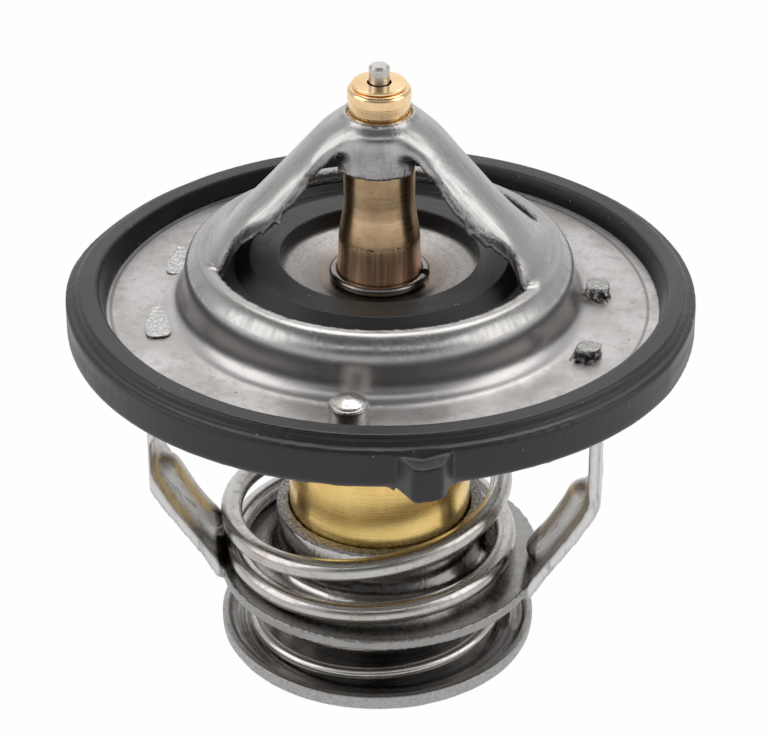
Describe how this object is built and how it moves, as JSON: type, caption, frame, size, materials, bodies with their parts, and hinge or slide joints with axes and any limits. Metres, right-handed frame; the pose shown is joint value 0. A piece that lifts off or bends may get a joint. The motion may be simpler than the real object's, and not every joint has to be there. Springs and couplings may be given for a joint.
{
  "type": "engine thermostat",
  "caption": "Engine thermostat: bridged steel flange in a rubber ring, wax capsule, return spring, lower frame and a sprung bypass disc.",
  "frame": {"origin": "centre of the flat crown of the rubber ring, which the cover presses on", "axes": "+Z out of the bridge along the valve's axis, +X along the two bridge arms"},
  "size_m": [0.064, 0.0655, 0.0659],
  "materials": {
    "flange_steel": "tumbled flange, satin drawn dome and bridge",
    "ring_rubber": "moulded, soft sheen",
    "cap_brass": "turned and polished",
    "piston_steel": "ground",
    "stem_brass": "turned, browned, rough band near the plate",
    "plate_steel": "fine matte",
    "seal_rubber": "moulded, soft sheen",
    "cup_brass": "drawn, slightly speckled",
    "wax": "wax with metal powder",
    "spring_steel": "drawn wire",
    "frame_steel": "pressed sheet, sheared edges",
    "disc_steel": "pressed sheet, matte lip",
    "pin_steel": "barrel finished"
  },
  "bodies": {
    "housing": {"flange_bridge": "flange_steel", "flange_gasket": "ring_rubber", "adjusting_cap": "cap_brass", "piston": "piston_steel", "lower_frame": "frame_steel", "main_spring": "spring_steel"},
    "valve": {"guide_stem": "stem_brass", "snap_ring": "spring_steel", "valve_plate": "plate_steel", "valve_seal": "seal_rubber", "wax_cup": "cup_brass", "wax_fill": "wax", "rubber_boot": "seal_rubber", "bypass_rod": "piston_steel", "rod_clip": "spring_steel", "bypass_spring": "spring_steel"},
    "bypass": {"bypass_disc": "disc_steel"},
    "jiggle": {"jiggle_pin": "pin_steel", "jiggle_weight": "pin_steel"}
  },
  "joints": [
    {"name": "valve_lift", "type": "slide", "parent": "housing", "child": "valve", "axis": [0, 0, -1], "range_m": [0, 0.008], "stiffness_N_per_m": 600, "springref_m": -0.01, "deforming": ["main_spring"]},
    {"name": "bypass_slide", "type": "slide", "parent": "valve", "child": "bypass", "axis": [0, 0, 1], "range_m": [0, 0.003], "stiffness_N_per_m": 300, "springref_m": -0.01, "deforming": ["bypass_spring"]},
    {"name": "jiggle_lift", "type": "slide", "parent": "housing", "child": "jiggle", "axis": [0, 0, 1], "range_m": [0, 0.0012]}
  ]
}
